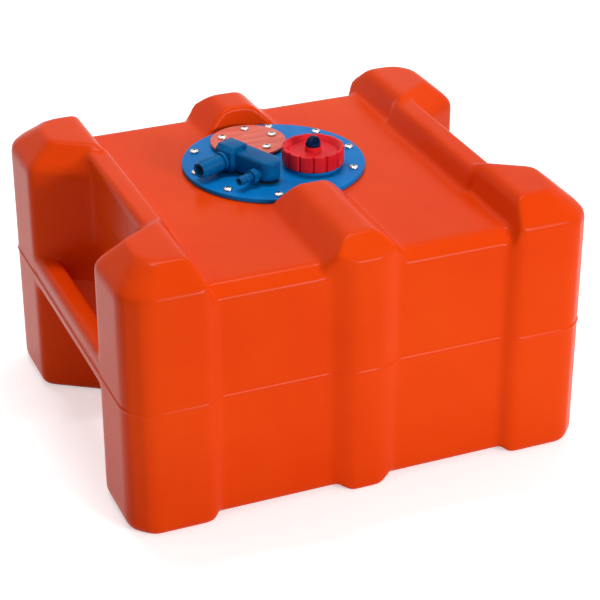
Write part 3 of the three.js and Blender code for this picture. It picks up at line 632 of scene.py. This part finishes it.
capSizes = {"radius": 33 * mm, "bottom": 4 * mm, "top": 22 * mm, "floor": 16 * mm, "deck": 3 * mm,
            "skirtBore": 28 * mm, "dish": 25.4 * mm, "dishStep": 1.5 * mm, "rim": 29.6 * mm, "lobes": 14,
            "lobeTurn": -112.5, "groove": 2.3 * mm, "grooveShare": 0.11, "edge": 1 * mm,
            "bossFoot": 9.6 * mm, "bossRadius": 8.6 * mm, "bossTop": 22.4 * mm, "bore": 3.2 * mm,
            "sealRecess": 6.6 * mm, "sealDepth": 1.65 * mm}
lobeSteps = [0, 0.03, 0.06, 0.09, 0.12, 0.17, 0.27, 0.39, 0.5, 0.61, 0.73, 0.83, 0.88, 0.91, 0.94, 0.97]
capPlace = Vector((capCentre.x, capCentre.y, plateTop))


def lobed(radius, height, angle):
    sizes = capSizes
    if radius < sizes["rim"] + 0.5 * mm or height < sizes["bottom"] - 1e-6:
        return radius
    share = (math.degrees(angle) - sizes["lobeTurn"]) / 360 * sizes["lobes"] % 1
    near = min(share, 1 - share) / sizes["grooveShare"]
    deep = max(0, 1 - near) ** 0.6
    swell = 0.35 * mm * (1 - (2 * share - 1) ** 2)
    return radius - sizes["groove"] * deep - 0.35 * mm + swell


def fillerCap():
    sizes = capSizes
    ceiling = sizes["floor"] - sizes["deck"]
    lobeAngles = [math.radians(sizes["lobeTurn"] + (lobe + step) * 360 / sizes["lobes"])
                  for lobe in range(sizes["lobes"]) for step in lobeSteps]
    sealFloor = sizes["bossTop"] - sizes["sealDepth"]
    radius, edge = sizes["radius"], sizes["edge"]
    outside = [(sizes["bore"], ceiling), (sizes["skirtBore"], ceiling),
               (sizes["skirtBore"], sizes["bottom"]), (radius - edge, sizes["bottom"]),
               (radius, sizes["bottom"] + edge), (radius, sizes["top"] - edge),
               (radius - 0.35 * edge, sizes["top"] - 0.3 * edge), (radius - edge, sizes["top"]),
               (sizes["rim"], sizes["top"]), (sizes["dish"] + 0.7 * mm, sizes["floor"] + sizes["dishStep"]),
               (sizes["dish"], sizes["floor"]), (sizes["bossFoot"], sizes["floor"]),
               (sizes["bossRadius"], sizes["floor"] + 1.2 * mm), (sizes["bossRadius"], sizes["bossTop"]),
               (sizes["sealRecess"], sizes["bossTop"]), (sizes["sealRecess"], sealFloor),
               (sizes["bore"], sealFloor), (sizes["bore"], ceiling)]
    cap = turnedPiece("filler_cap_moulding", eased(outside, 0.4 * mm, 2), capPlace, capRed,
                      reach=lobed, angles=lobeAngles)
    softShade(cap, 36)
    return cap


fitted(fillerCap(), "cap", "cap", "filler_cap")
print("filler cap moulded")


# Vent knob: a disc with a rounded finger wing

knobSizes = {"stem": 2.7 * mm, "base": 8.2 * mm, "baseHeight": 2.8 * mm, "wingWidth": 16 * mm,
             "wingHeight": 7.7 * mm, "wingThick": 6.4 * mm, "wingTurn": 20, "wingRound": 1.4 * mm}


def ventKnob():
    sizes = knobSizes
    foot = capSizes["bossTop"] + seatGap
    stemEnd = capSizes["floor"] - capSizes["deck"] - seatGap
    base = eased([(0, stemEnd), (sizes["stem"], stemEnd), (sizes["stem"], foot), (sizes["base"], foot),
                  (sizes["base"], foot + sizes["baseHeight"]), (0, foot + sizes["baseHeight"])],
                 0.6 * mm)
    knob = turnedPiece("vent_knob_disc", base, capPlace, knobNavy, 64)
    half = sizes["wingWidth"] / 2
    low = foot + sizes["baseHeight"] - 1.2 * mm
    rise = sizes["wingHeight"] + 0.9 * mm
    arch = [(half * math.cos(angle), low + rise * math.sin(angle) ** 0.8)
            for angle in (math.radians(step) for step in range(0, 181, 9))]
    flat, faces = prismMesh(arch, -sizes["wingThick"] / 2, sizes["wingThick"] / 2)
    upright = [(x, y, height) for x, height, y in flat]
    turn = Euler((0, 0, math.radians(sizes["wingTurn"])))
    wing = meshPiece("wing", placed(upright, capPlace, turn), faces, knobNavy)
    applied(wing, "BEVEL", width=sizes["wingRound"], segments=4, limit_method="ANGLE",
            angle_limit=math.radians(50))
    cutAway(knob, wing, "UNION")
    softShade(knob, 40)
    return knob


fitted(ventKnob(), "vent", "knob", "vent_knob")
print("vent knob moulded")


# Tank shell: the frame's hollow shell with every moulded edge drawn soft

shellSizes = {"voxel": 2.2 * mm, "softening": 14, "cadRidge": 1.5 * mm, "cadRidgeHalf": 4 * mm,
              "ridgeHeight": 140.5 * mm, "ridge": 1 * mm, "ridgeHalf": 2 * mm, "corner": 32 * mm,
              "slice": 2.5 * mm}
# one end's shoulder between its two posts, as (distance from the middle, height)
shoulderOutline = [(158 * mm, 262 * mm), (165 * mm, 279 * mm), (168 * mm, 283 * mm),
                   (187 * mm, 284 * mm), (191 * mm, 279 * mm), (191.3 * mm, 228 * mm),
                   (170 * mm, 240 * mm)]
shoulderHalf = 98 * mm


def softShell():
    sizes = shellSizes
    shell = bpy.data.objects.new("moulded_shell", frame["nodes"]["tank_shell"].data.copy())
    bpy.context.scene.collection.objects.link(shell)
    shell.data.materials.clear()
    shell.data.materials.append(tankOrange)
    endShoulders(shell)
    applied(shell, "REMESH", mode="VOXEL", voxel_size=sizes["voxel"], adaptivity=0)
    low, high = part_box("tank_shell")
    level = (low.z + high.z) / 2
    pressOut(shell, level, sizes["cadRidgeHalf"], lambda away: -(1 - away) * sizes["cadRidge"])
    roundPosts(shell)
    applied(shell, "SMOOTH", factor=0.5, iterations=sizes["softening"])
    scored(shell)
    pressOut(shell, sizes["ridgeHeight"], sizes["ridgeHalf"], lambda away: (1 - away) * sizes["ridge"])
    softShade(shell, 60)
    return shell


def endShoulders(shell):
    # a broad shoulder along the inside of each recess, joined on before the remesh
    count = len(shoulderOutline)
    body = bmesh.new()
    body.from_mesh(shell.data)
    for side in (-1, 1):
        near, far = ([body.verts.new((side * x, y, z)) for x, z in shoulderOutline]
                     for y in (-shoulderHalf, shoulderHalf))
        sides = [body.faces.new((near[i], near[(i + 1) % count], far[(i + 1) % count], far[i]))
                 for i in range(count)]
        bmesh.ops.recalc_face_normals(body, faces=[*sides, body.faces.new(near), body.faces.new(far)])
    body.to_mesh(shell.data)
    body.free()


def pressOut(shell, level, half, distance):
    # moves the walls of a level band sideways; away is 0 at the level and 1 at the band's edges
    moved = []
    for vertex in shell.data.vertices:
        away = abs(vertex.co.z - level) / half
        if away < 1:
            outward = Vector((vertex.normal.x, vertex.normal.y, 0))
            moved.append((vertex.index, vertex.co + outward * distance(away)))
    for index, place in moved:
        shell.data.vertices[index].co = place


def roundPosts(shell):
    # draws the corner posts' upright outer edges to one round
    corner, slice = shellSizes["corner"], shellSizes["slice"]
    places = [vertex.co.copy() for vertex in shell.data.vertices]
    farX, farY = {}, {}
    for place in places:
        level = round(place.z / slice)
        farX[level] = max(farX.get(level, 0), abs(place.x))
        farY[level] = max(farY.get(level, 0), abs(place.y))
    for vertex, place in zip(shell.data.vertices, places):
        level = round(place.z / slice)
        inX, inY = farX[level] - corner, farY[level] - corner
        outX, outY = abs(place.x) - inX, abs(place.y) - inY
        if outX > 0 and outY > 0 and math.hypot(outX, outY) > corner:
            share = corner / math.hypot(outX, outY)
            vertex.co = (math.copysign(inX + outX * share, place.x),
                         math.copysign(inY + outY * share, place.y), place.z)


def scored(shell):
    # level edge loops for the parting ridge to rise on
    sizes = shellSizes
    cut = bmesh.new()
    cut.from_mesh(shell.data)
    reach = sizes["ridgeHalf"] + 2 * sizes["voxel"]
    around = [face for face in cut.faces if abs(face.verts[0].co.z - sizes["ridgeHeight"]) < reach]
    band = {*around, *(part for face in around for part in (*face.verts, *face.edges))}
    for step in (-1, -0.4, 0, 0.4, 1):
        level = sizes["ridgeHeight"] + step * sizes["ridgeHalf"]
        band = bmesh.ops.bisect_plane(cut, geom=list(band), dist=0.01 * mm, plane_co=(0, 0, level),
                                      plane_no=(0, 0, 1))["geom"]
    cut.to_mesh(shell.data)
    cut.free()


shell = fitted(softShell(), "tank", "tank", "tank_shell")
print("shell softened:", len(shell.data.polygons), "faces")


# The carried-over nodes keep their frame shape and get a finish

nodeFinishes = {"rubber": rubberBlack, "head": headBlue, "insert": brassTurned, "strainer": nylonPale,
                "steel": steelBright, "cap": capRed, "knob": knobNavy, "cover": coverRed,
                "plate": plateBlue, "tank": tankOrange}
nodeSlots = {part["node"]: part["material_slot"] for part in frame["record"]["subparts"]}
for node, thing in frame["nodes"].items():
    thing.data.materials.clear()
    thing.data.materials.append(nodeFinishes[nodeSlots[node]])
    softShade(thing, 35)
print("frame nodes finished")


# Stage, light and camera

stageSizes = {"floor": 30, "seenColour": (250, 250, 250), "bounceColour": (221, 221, 221), "glow": 0.5,
              "room": 0.36}


def seenRays(tree):
    # 1 for the camera's rays and for those that metal and glass send on
    path = tree.nodes.new("ShaderNodeLightPath")
    total = path.outputs["Is Camera Ray"]
    for kind in ("Is Glossy Ray", "Is Transmission Ray"):
        larger = tree.nodes.new("ShaderNodeMath")
        larger.operation = "MAXIMUM"
        tree.links.new(total, larger.inputs[0])
        tree.links.new(path.outputs[kind], larger.inputs[1])
        total = larger.outputs["Value"]
    return total


def softRoom():
    # white to the camera, dimmer for what it lights
    world = bpy.data.worlds.new("soft_room")
    bpy.context.scene.world = world
    world.use_nodes = True
    nodes, links = world.node_tree.nodes, world.node_tree.links
    dim = nodes["Background"]
    dim.inputs["Color"].default_value = (1, 1, 1, 1)
    dim.inputs["Strength"].default_value = stageSizes["room"]
    white = nodes.new("ShaderNodeBackground")
    white.inputs["Color"].default_value = (1, 1, 1, 1)
    white.inputs["Strength"].default_value = 1
    chosen = nodes.new("ShaderNodeMixShader")
    links.new(seenRays(world.node_tree), chosen.inputs["Fac"])
    links.new(dim.outputs["Background"], chosen.inputs[1])
    links.new(white.outputs["Background"], chosen.inputs[2])
    links.new(chosen.outputs["Shader"], nodes["World Output"].inputs["Surface"])


def floorFinish():
    # the camera sees a white floor with the tank's shadow, the tank a greyer one
    finish = Finish("pale_floor", **{"Base Color": shade(*stageSizes["bounceColour"]), "Roughness": 0.8})
    nodes, links = finish.tree.nodes, finish.tree.links
    seen = nodes.new("ShaderNodeBsdfPrincipled")
    seen.inputs["Base Color"].default_value = shade(*stageSizes["seenColour"])
    seen.inputs["Roughness"].default_value = 0.8
    seen.inputs["Emission Color"].default_value = (1, 1, 1, 1)
    seen.inputs["Emission Strength"].default_value = stageSizes["glow"]
    chosen = nodes.new("ShaderNodeMixShader")
    links.new(seenRays(finish.tree), chosen.inputs["Fac"])
    links.new(finish.surface.outputs["BSDF"], chosen.inputs[1])
    links.new(seen.outputs["BSDF"], chosen.inputs[2])
    links.new(chosen.outputs["Shader"], nodes["Material Output"].inputs["Surface"])
    return finish.material


def paleFloor():
    reach = stageSizes["floor"] / 2
    mesh = bpy.data.meshes.new("floor")
    mesh.from_pydata([(-reach, -reach, 0), (reach, -reach, 0), (reach, reach, 0), (-reach, reach, 0)],
                     [], [(0, 1, 2, 3)])
    floor = bpy.data.objects.new("floor", mesh)
    bpy.context.scene.collection.objects.link(floor)
    mesh.materials.append(floorFinish())


softRoom()
paleFloor()

cameraSizes = {"eye": (-0.70065, -1.73572, 1.1233), "azimuth": -22.371, "elevation": 28.303,
               "roll": -0.0778, "lens": 117.72}


def photographCamera():
    sizes = cameraSizes
    azimuth, elevation, roll = (math.radians(sizes[key]) for key in ("azimuth", "elevation", "roll"))
    back = Vector((math.sin(azimuth) * math.cos(elevation), -math.cos(azimuth) * math.cos(elevation),
                   math.sin(elevation)))
    right = (-back).cross(Vector((0, 0, 1))).normalized()
    up = right.cross(-back)
    data = bpy.data.cameras.new("photograph_camera")
    data.lens = sizes["lens"]
    data.sensor_width = 36
    data.clip_start, data.clip_end = 0.05, 100
    camera = bpy.data.objects.new("photograph_camera", data)
    turn = Matrix((right * math.cos(roll) + up * math.sin(roll),
                   up * math.cos(roll) - right * math.sin(roll), back)).transposed()
    camera.matrix_world = Matrix.Translation(sizes["eye"]) @ turn.to_4x4()
    bpy.context.scene.collection.objects.link(camera)
    bpy.context.scene.camera = camera


photographCamera()


lampSizes = {"aim": (0, 0, 0.15),
             "front_softbox": {"at": (0.9, -2.4, 0.95), "wide": 0.8, "deep": 0.3, "watts": 38},
             "top_strip": {"at": (0.1, 0.5, 2.3), "wide": 1.3, "deep": 0.14, "watts": 26}}


def softLamp(name):
    sizes = lampSizes[name]
    data = bpy.data.lights.new(name, "AREA")
    data.shape = "RECTANGLE"
    data.size, data.size_y = sizes["wide"], sizes["deep"]
    data.energy = sizes["watts"]
    lamp = bpy.data.objects.new(name, data)
    aim = Vector(lampSizes["aim"]) - Vector(sizes["at"])
    lamp.matrix_world = Matrix.Translation(sizes["at"]) @ aim.to_track_quat("-Z", "Y").to_matrix().to_4x4()
    bpy.context.scene.collection.objects.link(lamp)


softLamp("front_softbox")
softLamp("top_strip")
bpy.context.scene.view_settings.view_transform = "Standard"
print("stage set")
